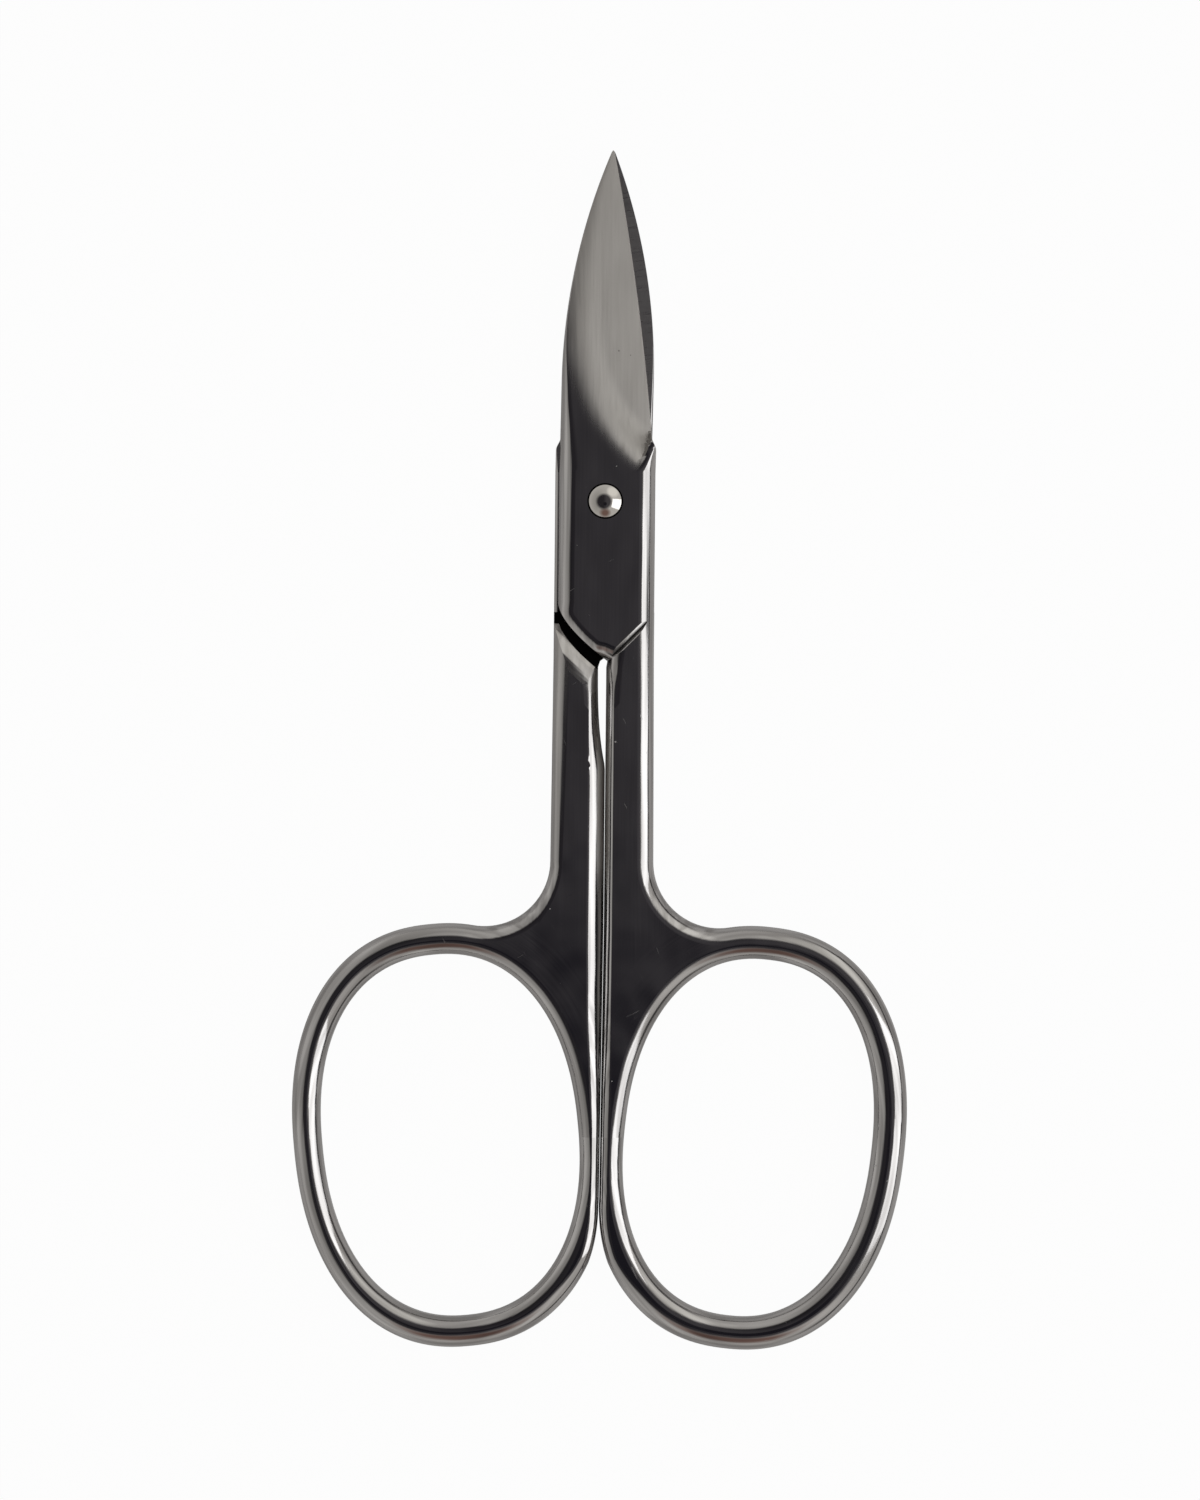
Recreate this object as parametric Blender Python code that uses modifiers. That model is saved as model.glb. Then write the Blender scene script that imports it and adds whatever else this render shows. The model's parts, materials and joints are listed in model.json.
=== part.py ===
"""Nail scissors: two forged stainless steel halves that cross at one domed rivet.

The scissors lie flat and closed, as on a table. +Y points to the tips, +Z is up through the
front face, and +X is to the right when seen from above. The origin is the middle of the
bounding box's underside. Both halves are the same forging: each is drawn once with its own
ring on the right and its tang in front, and the rear one is turned over about the Y axis.
Lengths are in metres.
"""

import math

import bmesh
import bpy
from mathutils import Matrix, Vector

# Overall sizes. Reaches are measured from the rivet's axis.
BLADE_REACH = 0.0264
RING_REACH = 0.0636
THICKNESS = 0.0026
FAYING_GAP = 0.00006
OVERRUN = 0.001

# Blade
TIP_WIDTH = 0.0003
SPINE_CURVE_START = 0.0090
CUTTING_EDGE_BULGE = 0.00029
HEEL_CORNER = 0.0043
HEEL_EDGE = 0.0054
HEEL_INSET = 0.00033
EDGE_THICKNESS = 0.00015
BLADE_LEAN = 0.00029

# Ground face of the blade
GRIND_WIDTH = 0.0061
PLUNGE_START = 0.0086
PLUNGE_END = 0.0022

# Tang and lap joint
TANG_FAR_SIDE = 0.00347
TANG_OWN_SIDE = 0.0038
TANG_FOOT = 0.01195
TANG_FOOT_RISE = 0.0045
FOOT_SLOPE = math.radians(37)
SHOULDER_DROP = 0.0012
RELIEF_REACH = 0.0126
RELIEF_DEPTH = 0.0005
GROOVE_WIDTH = 0.00027

# Shank
SHANK_OUTER_SIDE = 0.0039
SHANK_GAP = 0.0001
NOTCH_WIDTH = 0.00054
NOTCH_LENGTH = 0.0079

# Finger ring
HOLE_WIDTH = 0.0188
HOLE_LENGTH = 0.0269
RING_BAND = 0.0025
RING_INNER_BAND = 0.00168
RING_TILT = math.radians(5)
RING_SQUARENESS = 2.25
RING_FILLET = 0.0045

# Edge roundings as shares of the thickness, and the thin inner band's as a share of its width
RING_ROUNDING_SHARE = 0.44
SHANK_ROUNDING_SHARE = 0.35
SPINE_ROUNDING_SHARE = 0.23
RING_THIN_SIDE_SHARE = 0.42
ROUNDING_SEGMENTS = 3

# Rivet and its seats
RIVET_RADIUS = 0.0009
RIVET_CLEARANCE = 0.00003
HEAD_RADIUS = 0.00124
HEAD_HEIGHT = 0.00062
HEAD_RIM = 0.00012
SEAT_CLEARANCE = 0.00015
SEAT_DEPTH = 0.0002
TAIL_RADIUS = 0.0013
TAIL_DEPTH = 0.0004
TAIL_RECESS = 0.00003

# How finely curves are drawn
RING_POINTS = 56
ARC_POINTS = 9
TURNED_STEPS = 32
DOME_POINTS = 6
FLAT_ANGLE = math.radians(1)
RIM_ANGLE = math.radians(60)
SMOOTH_ANGLE = math.radians(30)
WELD_DISTANCE = 0.000001

# Search for the fillet between ring and shank, in shares of half a turn
FILLET_SEARCH_START_SHARE = 0.3
FILLET_SEARCH_END_SHARE = 0.8
FILLET_SEARCH_STEPS = 400
HALVINGS = 40

# Places that follow from the sizes
HALF_THICKNESS = THICKNESS / 2
FAYING_FACE = FAYING_GAP / 2
RING_ROUNDING = THICKNESS * RING_ROUNDING_SHARE
SHANK_ROUNDING = THICKNESS * SHANK_ROUNDING_SHARE
SPINE_ROUNDING = THICKNESS * SPINE_ROUNDING_SHARE
RING_CENTRE_X = SHANK_GAP / 2 + RING_INNER_BAND + HOLE_WIDTH / 2
RING_CENTRE_Y = RING_BAND + HOLE_LENGTH / 2 - RING_REACH
PIVOT = Vector((0.0, (RING_REACH - BLADE_REACH) / 2, HALF_THICKNESS))

STEEL_COLOUR = (0.62, 0.61, 0.60, 1.0)
RIVET_COLOUR = (0.68, 0.66, 0.62, 1.0)


def clear_scene():
    for item in list(bpy.data.objects):
        bpy.data.objects.remove(item, do_unlink=True)


def make_collection(name):
    collection = bpy.data.collections.new(name)
    bpy.context.scene.collection.children.link(collection)
    return collection


def make_material(name, colour, roughness):
    material = bpy.data.materials.new(name)
    material.use_nodes = True
    shader = material.node_tree.nodes["Principled BSDF"]
    shader.inputs["Base Color"].default_value = colour
    shader.inputs["Metallic"].default_value = 1.0
    shader.inputs["Roughness"].default_value = roughness
    return material


def arc(start, end, bulge, count):
    """Points of a circular arc from start to end, both kept, that bulges to its right."""
    start = Vector(start)
    chord = Vector(end) - start
    half = chord.length / 2
    radius = (half * half + bulge * bulge) / (2 * bulge)
    sweep = 2 * math.asin(half / radius)
    along = chord.normalized()
    right = Vector((along.y, -along.x))
    centre = start + along * half - right * (radius - bulge)
    points = []
    for step in range(count + 1):
        angle = sweep * (step / count - 0.5)
        points.append(centre + right * radius * math.cos(angle) + along * radius * math.sin(angle))
    return points


def oval(half_width, half_length, angle):
    """A point of the ring's tilted, slightly squared oval."""
    power = 2 / RING_SQUARENESS
    across = math.copysign(abs(math.cos(angle)) ** power, math.cos(angle)) * half_width
    along = math.copysign(abs(math.sin(angle)) ** power, math.sin(angle)) * half_length
    x = across * math.cos(RING_TILT) + along * math.sin(RING_TILT)
    y = along * math.cos(RING_TILT) - across * math.sin(RING_TILT)
    return RING_CENTRE_X + x, RING_CENTRE_Y + y


def ring_outside(angle):
    return oval(HOLE_WIDTH / 2 + RING_BAND, HOLE_LENGTH / 2 + RING_BAND, angle)


def inner_face_angle():
    """Angle at which the ring's lower outside crosses the flat face against the other ring."""
    low = math.pi
    high = math.pi * 1.5
    for _ in range(HALVINGS):
        middle = (low + high) / 2
        if ring_outside(middle)[0] < SHANK_GAP / 2:
            low = middle
        else:
            high = middle
    return high


def shank_fillet():
    """Centre of the fillet arc between shank and ring, and the ring angle where it starts."""
    reach = SHANK_OUTER_SIDE + RING_FILLET
    first = math.pi * FILLET_SEARCH_START_SHARE
    last = math.pi * FILLET_SEARCH_END_SHARE
    angles = [first + (last - first) * step / FILLET_SEARCH_STEPS for step in range(FILLET_SEARCH_STEPS)]

    def distance(angle, height):
        x, y = ring_outside(angle)
        return math.hypot(x - reach, y - height)

    low = RING_CENTRE_Y
    high = 0.0
    for _ in range(HALVINGS):
        middle = (low + high) / 2
        if min(distance(angle, middle) for angle in angles) < RING_FILLET:
            low = middle
        else:
            high = middle
    touching = min(angles, key=lambda angle: distance(angle, high))
    return Vector((reach, high)), touching


def foot_curve(count):
    """The tang's lower edge on the far side, from the side down to the notch between shanks."""
    notch = Vector((NOTCH_WIDTH / 2, -TANG_FOOT))
    start = Vector((-TANG_FAR_SIDE, TANG_FOOT_RISE - TANG_FOOT))
    run = TANG_FAR_SIDE + notch.x
    corner = Vector((-TANG_FAR_SIDE, notch.y + run * math.tan(FOOT_SLOPE)))
    points = []
    for step in range(count + 1):
        share = step / count
        points.append(start.lerp(corner, share).lerp(corner.lerp(notch, share), share))
    return points


def lean(point, lean_side):
    """The closed tips stand a little to one side, so each blade leans by that much."""
    shift = max(0.0, point.y) / BLADE_REACH * BLADE_LEAN * lean_side
    return Vector((point.x + shift, point.y))


def half_outline(lean_side):
    """Outline of one half seen from its front, counter-clockwise from the lower inner face."""
    points = []
    fillet_centre, fillet_angle = shank_fillet()
    first = inner_face_angle()
    last = fillet_angle + math.tau
    for step in range(RING_POINTS + 1):
        points.append(Vector(ring_outside(first + (last - first) * step / RING_POINTS)))
    touch = Vector(ring_outside(fillet_angle)) - fillet_centre
    sweep = math.atan2(touch.y, touch.x) % math.tau
    for step in range(1, ARC_POINTS + 1):
        angle = sweep + (math.pi - sweep) * step / ARC_POINTS
        points.append(fillet_centre + Vector((math.cos(angle), math.sin(angle))) * RING_FILLET)
    points.append(Vector((TANG_OWN_SIDE, -TANG_FOOT)))
    points.append(Vector((TANG_OWN_SIDE, 0.0)))
    points.append(Vector((TANG_OWN_SIDE, HEEL_CORNER)))
    heel = Vector((TANG_OWN_SIDE - HEEL_INSET, HEEL_EDGE))
    points += arc(heel, (TIP_WIDTH / 2, BLADE_REACH - TIP_WIDTH / 2), CUTTING_EDGE_BULGE, ARC_POINTS)
    points.append(Vector((0.0, BLADE_REACH)))
    spine_rise = BLADE_REACH - TIP_WIDTH / 2 - SPINE_CURVE_START
    spine_run = TANG_FAR_SIDE - TIP_WIDTH / 2
    spine_radius = (spine_rise ** 2 + spine_run ** 2) / (2 * spine_run)
    spine_sweep = math.asin(spine_rise / spine_radius)
    for step in range(ARC_POINTS, -1, -1):
        angle = spine_sweep * step / ARC_POINTS
        x = spine_radius * (1 - math.cos(angle)) - TANG_FAR_SIDE
        points.append(Vector((x, SPINE_CURVE_START + spine_radius * math.sin(angle))))
    points.append(Vector((-TANG_FAR_SIDE, 0.0)))
    points += foot_curve(ARC_POINTS)
    points.append(Vector((SHANK_GAP / 2, -TANG_FOOT - NOTCH_LENGTH)))
    return [lean(point, lean_side) for point in points]


def rounding_at(spot):
    """Radius of the rounded edge at a place on the outline."""
    if spot.y > HEEL_CORNER - OVERRUN and spot.x > 0:
        return 0.0
    if spot.x < 0 and spot.y > SPINE_CURVE_START:
        left = (BLADE_REACH - spot.y) / (BLADE_REACH - SPINE_CURVE_START)
        return SPINE_ROUNDING * left
    if spot.x < 0 and spot.y > 0:
        return SPINE_ROUNDING
    width = min(1.0, max(0.0, spot.x / RING_CENTRE_X))
    ring = RING_THIN_SIDE_SHARE * RING_INNER_BAND * (1 - width) + RING_ROUNDING * width
    end = RING_CENTRE_Y + HOLE_LENGTH / 2
    share = min(1.0, max(0.0, (spot.y + TANG_FOOT) / (end + TANG_FOOT)))
    return SHANK_ROUNDING + (ring - SHANK_ROUNDING) * share


def plate(name, outline, thickness, collection):
    """A flat plate of an outline, as a mesh object with one face for each cap."""
    curve = bpy.data.curves.new(name + "_outline", "CURVE")
    curve.dimensions = "2D"
    curve.fill_mode = "BOTH"
    curve.extrude = thickness / 2
    spline = curve.splines.new("POLY")
    spline.points.add(len(outline) - 1)
    for target, point in zip(spline.points, outline):
        target.co = (point.x, point.y, 0.0, 1.0)
    spline.use_cyclic_u = True
    drawn = bpy.data.objects.new(name + "_outline", curve)
    collection.objects.link(drawn)
    bpy.context.view_layer.update()
    graph = bpy.context.evaluated_depsgraph_get()
    mesh = bpy.data.meshes.new_from_object(drawn.evaluated_get(graph))
    mesh.name = name
    solid = bpy.data.objects.new(name, mesh)
    solid.matrix_world = drawn.matrix_world
    collection.objects.link(solid)
    bpy.data.objects.remove(drawn, do_unlink=True)
    shape = bmesh.new()
    shape.from_mesh(mesh)
    bmesh.ops.remove_doubles(shape, verts=shape.verts, dist=WELD_DISTANCE)
    inside_caps = []
    for edge in shape.edges:
        level = edge.verts[0].co.z * edge.verts[1].co.z > 0
        if level and edge.calc_face_angle(0.0) < FLAT_ANGLE:
            inside_caps.append(edge)
    bmesh.ops.dissolve_edges(shape, edges=inside_caps, use_verts=False)
    bmesh.ops.recalc_face_normals(shape, faces=shape.faces)
    shape.to_mesh(mesh)
    shape.free()
    return solid


def round_edges(solid, lean_side):
    """Rounds the rim of a half by the radius that belongs to each place."""
    mesh = solid.data
    shape = bmesh.new()
    shape.from_mesh(mesh)
    weight = shape.edges.layers.float.new("bevel_weight_edge")
    for edge in shape.edges:
        start, end = [vert.co for vert in edge.verts]
        if start.z * end.z > 0 and edge.calc_face_angle(0.0) > RIM_ANGLE:
            radii = [rounding_at(lean(spot, -lean_side)) for spot in (start, end)]
            edge[weight] = sum(radii) / 2 / RING_ROUNDING
    shape.to_mesh(mesh)
    shape.free()
    bevel = solid.modifiers.new("rounded_edges", "BEVEL")
    bevel.limit_method = "WEIGHT"
    bevel.width = RING_ROUNDING
    bevel.segments = ROUNDING_SEGMENTS
    bevel.use_clamp_overlap = False


def mark_cutter(cutter):
    cutter.hide_render = True
    cutter.display_type = "WIRE"


def cut(solid, cutter):
    boolean = solid.modifiers.new(cutter.name, "BOOLEAN")
    boolean.operation = "DIFFERENCE"
    boolean.solver = "EXACT"
    boolean.object = cutter
    mark_cutter(cutter)


def hull_cutter(name, corners, collection):
    """A convex cutter that spans the given corner points."""
    shape = bmesh.new()
    for corner in corners:
        shape.verts.new(corner)
    bmesh.ops.convex_hull(shape, input=shape.verts)
    bmesh.ops.recalc_face_normals(shape, faces=shape.faces)
    mesh = bpy.data.meshes.new(name)
    shape.to_mesh(mesh)
    shape.free()
    cutter = bpy.data.objects.new(name, mesh)
    collection.objects.link(cutter)
    return cutter


def turned(name, profile, collection):
    """A solid of revolution about Z from an (r, z) profile that runs top to bottom."""
    mesh = bpy.data.meshes.new(name)
    edges = [(index, index + 1) for index in range(len(profile) - 1)]
    mesh.from_pydata([(r, 0.0, z) for r, z in profile], edges, [])
    solid = bpy.data.objects.new(name, mesh)
    collection.objects.link(solid)
    screw = solid.modifiers.new("turned", "SCREW")
    screw.steps = TURNED_STEPS
    screw.render_steps = TURNED_STEPS
    screw.use_merge_vertices = True
    screw.merge_threshold = WELD_DISTANCE
    screw.use_smooth_shade = True
    return solid


def hole_cutter(name, collection):
    """A plug that flares at both faces, so that the finger hole gets its rounded edges."""
    flare = []
    for step in range(ROUNDING_SEGMENTS + 1):
        angle = math.pi / 2 * step / ROUNDING_SEGMENTS
        flare.append((1 - math.cos(angle), math.sin(angle) - 1))
    beyond = [2 * last - before for last, before in zip(flare[-1], flare[-2])]
    flare.append(tuple(beyond))
    levels = [(out, rise, -1) for out, rise in reversed(flare)]
    levels += [(out, rise, 1) for out, rise in flare]
    loops = []
    shape = bmesh.new()
    for out, rise, side in levels:
        loop = []
        for step in range(RING_POINTS):
            angle = math.tau * step / RING_POINTS
            radius = rounding_at(Vector(oval(HOLE_WIDTH / 2, HOLE_LENGTH / 2, angle)))
            x, y = oval(HOLE_WIDTH / 2 + radius * out, HOLE_LENGTH / 2 + radius * out, angle)
            loop.append(shape.verts.new((x, y, side * (HALF_THICKNESS + radius * rise))))
        loops.append(loop)
    for lower, upper in zip(loops, loops[1:]):
        for step in range(RING_POINTS):
            shape.faces.new((lower[step - 1], lower[step], upper[step], upper[step - 1]))
    shape.faces.new(loops[0])
    shape.faces.new(loops[-1])
    bmesh.ops.recalc_face_normals(shape, faces=shape.faces)
    mesh = bpy.data.meshes.new(name)
    shape.to_mesh(mesh)
    shape.free()
    cutter = bpy.data.objects.new(name, mesh)
    collection.objects.link(cutter)
    return cutter


def lap_cutter(name, collection):
    """Takes away the half's back above the shoulder, so that the other tang lies there."""
    shoulder = []
    for point in foot_curve(ARC_POINTS)[2:]:
        shoulder.append(Vector((-point.x, point.y - SHOULDER_DROP)))
    wide = TANG_OWN_SIDE + OVERRUN
    outline = [Vector((wide, BLADE_REACH + OVERRUN)), Vector((-wide, BLADE_REACH + OVERRUN))]
    outline.append(Vector((-wide, shoulder[-1].y)))
    outline += reversed(shoulder)
    outline.append(Vector((wide, shoulder[0].y)))
    depth = HALF_THICKNESS + OVERRUN + FAYING_FACE
    cutter = plate(name, outline, depth, collection)
    cutter.location.z = FAYING_FACE - depth / 2
    return cutter


def grind_cutter(name, lean_side, collection):
    """Takes away all above the ground face, which falls from the spine to the cutting edge."""
    edge_z = FAYING_FACE + EDGE_THICKNESS
    heel = lean(Vector((TANG_OWN_SIDE - HEEL_INSET, HEEL_EDGE)), lean_side)
    tip = lean(Vector((0.0, BLADE_REACH)), lean_side)
    along = (tip - heel).normalized()
    to_spine = Vector((-along.y, along.x))
    slope = (HALF_THICKNESS - edge_z) / GRIND_WIDTH

    def on_grind(spot):
        depth = (spot - heel).dot(to_spine)
        return Vector((spot.x, spot.y, edge_z + slope * depth))

    ridge = heel + to_spine * GRIND_WIDTH
    ridge += along * ((PLUNGE_START - ridge.y) / along.y)
    far = TANG_OWN_SIDE + OVERRUN
    beyond = BLADE_REACH + OVERRUN
    top = HALF_THICKNESS + OVERRUN
    plunge_start = Vector((ridge.x, ridge.y, HALF_THICKNESS))
    plunge_end = Vector((far, PLUNGE_END, HALF_THICKNESS))
    ramp_foot = on_grind(Vector((far, HEEL_CORNER)))
    valley = plunge_start - ramp_foot
    valley_top = plunge_start + valley * (OVERRUN / valley.z)
    across = plunge_end - plunge_start
    ramp_top = valley_top + across * ((far - valley_top.x) / across.x)
    ridge_end = valley_top + Vector((along.x, along.y, 0.0)) * ((beyond - valley_top.y) / along.y)
    edge_end = on_grind(Vector((far, beyond)))
    corners = [valley_top, ramp_top, ridge_end, ramp_foot, edge_end, Vector((far, beyond, top))]
    return hull_cutter(name, corners, collection)


def relief_cutter(name, collection):
    """Slopes the shank's back away towards the shoulder."""
    wide = TANG_OWN_SIDE + OVERRUN
    shoulder_top = foot_curve(1)[0].y - SHOULDER_DROP
    slope = RELIEF_DEPTH / (RELIEF_REACH + shoulder_top)
    start = -RELIEF_REACH - OVERRUN / slope
    end = -RELIEF_REACH + HALF_THICKNESS / slope
    corners = []
    for x in (-wide, wide):
        corners.append((x, start, -HALF_THICKNESS - OVERRUN))
        corners.append((x, end, 0.0))
        corners.append((x, end, -HALF_THICKNESS - OVERRUN))
    return hull_cutter(name, corners, collection)


def groove_cutter(name, collection):
    """A V-shaped bar for the fine groove from the notch to the outer side."""
    notch = foot_curve(1)[-1]
    end = Vector((TANG_OWN_SIDE, notch.y + TANG_OWN_SIDE - notch.x))
    along = (end - notch).normalized()
    across = Vector((-along.y, along.x)) * (GROOVE_WIDTH / 2 + OVERRUN)
    corners = []
    for spot in (notch - along * GROOVE_WIDTH, end + along * OVERRUN):
        corners.append((spot.x, spot.y, HALF_THICKNESS - GROOVE_WIDTH / 2))
        corners.append((spot.x + across.x, spot.y + across.y, HALF_THICKNESS + OVERRUN))
        corners.append((spot.x - across.x, spot.y - across.y, HALF_THICKNESS + OVERRUN))
    return hull_cutter(name, corners, collection)


def head_seat_profile():
    """Rivet hole with a shallow flat seat for the domed head, in the front half."""
    hole = RIVET_RADIUS + RIVET_CLEARANCE
    seat = HEAD_RADIUS + SEAT_CLEARANCE
    top = HALF_THICKNESS + OVERRUN
    floor = HALF_THICKNESS - SEAT_DEPTH
    return [(0.0, top), (seat, top), (seat, floor), (hole, floor), (hole, -top), (0.0, -top)]


def tail_seat_profile():
    """Rivet hole with a countersink for the spread tail, in the rear half."""
    hole = RIVET_RADIUS + RIVET_CLEARANCE
    top = HALF_THICKNESS + OVERRUN
    floor = HALF_THICKNESS - TAIL_DEPTH
    spread = (TAIL_RADIUS - RIVET_RADIUS) / TAIL_DEPTH
    rim = hole + spread * (TAIL_DEPTH + OVERRUN)
    return [(0.0, top), (rim, top), (hole, floor), (hole, -top), (0.0, -top)]


def make_half(name, seat_profile, lean_side, material, collection, cutters):
    """One half in its own frame: blade, tang, shank and finger ring in one forging."""
    half = plate(name, half_outline(lean_side), THICKNESS, collection)
    round_edges(half, lean_side)
    cut(half, hole_cutter(name + "_hole_cutter", cutters))
    cut(half, lap_cutter(name + "_lap_cutter", cutters))
    cut(half, grind_cutter(name + "_grind_cutter", lean_side, cutters))
    cut(half, relief_cutter(name + "_relief_cutter", cutters))
    cut(half, groove_cutter(name + "_groove_cutter", cutters))
    cut(half, turned(name + "_rivet_cutter", seat_profile, cutters))
    half.data.materials.append(material)
    half.data.shade_smooth()
    half.data.set_sharp_from_angle(angle=SMOOTH_ANGLE)
    return half


def make_rivet(name, material, collection):
    """Domed head, plain shank and a tail spread flush into the rear half."""
    seat_floor = HALF_THICKNESS - SEAT_DEPTH + RIVET_CLEARANCE
    rim_top = seat_floor + HEAD_RIM
    rise = HEAD_HEIGHT - HEAD_RIM
    radius = (HEAD_RADIUS ** 2 + rise ** 2) / (2 * rise)
    sweep = math.asin(HEAD_RADIUS / radius)
    profile = []
    for step in range(DOME_POINTS + 1):
        angle = sweep * step / DOME_POINTS
        profile.append((radius * math.sin(angle), rim_top + rise - radius * (1 - math.cos(angle))))
    tail_end = TAIL_RECESS - HALF_THICKNESS
    profile.append((HEAD_RADIUS, seat_floor))
    profile.append((RIVET_RADIUS, seat_floor))
    profile.append((RIVET_RADIUS, TAIL_DEPTH - HALF_THICKNESS))
    profile.append((TAIL_RADIUS - TAIL_RECESS, tail_end))
    profile.append((0.0, tail_end))
    rivet = turned(name, profile, collection)
    rivet.data.materials.append(material)
    return rivet


def place(item, turned_over):
    """Sets a piece on the rivet's axis; a turned-over piece shows its back."""
    item.location = PIVOT
    item.rotation_euler = (0.0, math.pi if turned_over else 0.0, 0.0)


def main():
    clear_scene()
    pieces = make_collection("nail_scissors")
    cutters = make_collection("cutters")
    steel = make_material("polished_steel", STEEL_COLOUR, 0.2)
    rivet_steel = make_material("rivet_steel", RIVET_COLOUR, 0.12)
    front = make_half("front_half", head_seat_profile(), 1, steel, pieces, cutters)
    rear = make_half("rear_half", tail_seat_profile(), -1, steel, pieces, cutters)
    rivet = make_rivet("pivot_rivet", rivet_steel, pieces)
    place(front, False)
    place(rear, True)
    place(rivet, False)
    for half in (front, rear):
        for cutter in cutters.objects:
            if cutter.name.startswith(half.name):
                cutter.matrix_world = half.matrix_basis @ Matrix.Translation(cutter.location)


main()
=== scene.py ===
import json
import math

import bmesh
import bpy
from mathutils import Matrix, Vector


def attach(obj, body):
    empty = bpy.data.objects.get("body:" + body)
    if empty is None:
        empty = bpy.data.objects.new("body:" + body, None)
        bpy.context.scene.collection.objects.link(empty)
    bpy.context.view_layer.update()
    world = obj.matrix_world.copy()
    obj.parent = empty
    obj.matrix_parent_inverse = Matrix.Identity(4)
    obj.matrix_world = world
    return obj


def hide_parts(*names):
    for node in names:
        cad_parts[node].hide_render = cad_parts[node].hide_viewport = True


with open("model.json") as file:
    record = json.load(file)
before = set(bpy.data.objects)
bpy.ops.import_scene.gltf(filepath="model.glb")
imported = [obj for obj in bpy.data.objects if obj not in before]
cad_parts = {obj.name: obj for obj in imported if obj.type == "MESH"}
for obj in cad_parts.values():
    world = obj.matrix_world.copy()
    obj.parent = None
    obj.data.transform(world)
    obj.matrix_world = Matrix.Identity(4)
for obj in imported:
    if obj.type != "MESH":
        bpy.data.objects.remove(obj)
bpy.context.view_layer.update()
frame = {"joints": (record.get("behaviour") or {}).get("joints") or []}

# Front half: one stainless forging with its blade, tang, shank and finger ring, ground and then
# polished all over. It lies over the rear half at the rivet, and its blade shows in full.
# Sizes are in millimetres from the rivet's axis, with the half's own ring on its right.
MILLIMETRE = 0.001
THICKNESS = 2.6
HALF_THICKNESS = THICKNESS / 2
FAYING_FACE = 0.03
OVERRUN = 2.0

TANG_FAR_SIDE = 3.47
TANG_OWN_SIDE = 3.77
TANG_FOOT = 11.95
TANG_FOOT_RISE = 4.5
FOOT_SLOPE = math.radians(37)
SHANK_OUTER_SIDE = 3.87
SHANK_GAP = 0.03
CREVICE_SHIFT = 0.18
CREVICE_BEND = -32.0
NOTCH_HALF_WIDTH = 0.27
NOTCH_LENGTH = 7.9
NOTCH_BLUNTNESS = 3

RING_CENTRE_X = 11.2
RING_CENTRE_Y = -47.65
RING_WIDTH = 23.54
RING_LENGTH = 31.82
RING_TILT = math.radians(6)
RING_SQUARENESS = 2.25
RING_FILLET = 4.95

RIM_ROUNDING = 1.25
HOLE_ROUNDING = 1.15
INNER_SIDE_ROUNDING = 1.05
INNER_BAND_ROUNDING = 0.8
ROUNDING_STEPS = 10

RING_POINTS = 150
FILLET_POINTS = 24
FOOT_POINTS = 20
SIDE_POINTS = 90
HALVINGS = 40
FILLET_TRIES = 600
FILLET_SEARCH_START = 0.3
FILLET_SEARCH_SPAN = 0.5


def mix(low, high, share):
    """The value at a share of the way from low to high."""
    return low + (high - low) * share


def blend(low, high, value):
    """Goes smoothly from 0 at low to 1 at high."""
    share = min(1.0, max(0.0, (value - low) / (high - low)))
    return share * share * (3 - 2 * share)


def ring_oval(half_width, half_length, angle):
    """A point of the ring's tilted, slightly squared oval."""
    power = 2 / RING_SQUARENESS
    across = math.copysign(abs(math.cos(angle)) ** power, math.cos(angle)) * half_width
    along = math.copysign(abs(math.sin(angle)) ** power, math.sin(angle)) * half_length
    x = across * math.cos(RING_TILT) + along * math.sin(RING_TILT)
    y = along * math.cos(RING_TILT) - across * math.sin(RING_TILT)
    return Vector((RING_CENTRE_X + x, RING_CENTRE_Y + y))


def ring_outside(angle):
    """A point of the ring's outline."""
    return ring_oval(RING_WIDTH / 2, RING_LENGTH / 2, angle)


def inner_side_angle():
    """Ring angle at which the lower outside meets the flat side against the other ring."""
    low = math.pi
    high = math.pi * 1.5
    for _ in range(HALVINGS):
        middle = (low + high) / 2
        if ring_outside(middle).x < SHANK_GAP / 2:
            low = middle
        else:
            high = middle
    return high


def shank_fillet():
    """Centre of the fillet between shank and ring, and the ring angle where it starts."""
    reach = SHANK_OUTER_SIDE + RING_FILLET
    angles = [math.pi * (FILLET_SEARCH_START + FILLET_SEARCH_SPAN * step / FILLET_TRIES)
              for step in range(FILLET_TRIES)]
    low = RING_CENTRE_Y
    high = 0.0
    for _ in range(HALVINGS):
        centre = Vector((reach, (low + high) / 2))
        if min((ring_outside(angle) - centre).length for angle in angles) < RING_FILLET:
            low = centre.y
        else:
            high = centre.y
    return centre, min(angles, key=lambda angle: (ring_outside(angle) - centre).length)


FOOT_TRIM = 0.45
FOOT_TRIM_FULL = 0.4
FOOT_TRIM_END = 0.85


def foot_curve(outset=0.0):
    """The tang's lower edge, from its far side down to the notch between the shanks.

    An outset moves it out between its two ends, for the rim that is trimmed off again.
    """
    notch = Vector((NOTCH_HALF_WIDTH, -TANG_FOOT))
    start = Vector((-TANG_FAR_SIDE, TANG_FOOT_RISE - TANG_FOOT))
    corner = Vector((start.x, notch.y + (notch.x - start.x) * math.tan(FOOT_SLOPE)))
    points = []
    for step in range(FOOT_POINTS + 1):
        share = step / FOOT_POINTS
        before = start.lerp(corner, share)
        after = corner.lerp(notch, share)
        along = (after - before).normalized()
        reach = outset * blend(0.0, FOOT_TRIM_FULL, share) * blend(1.0, FOOT_TRIM_END, share)
        points.append(before.lerp(after, share) + Vector((along.y, -along.x)) * reach)
    return points


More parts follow.
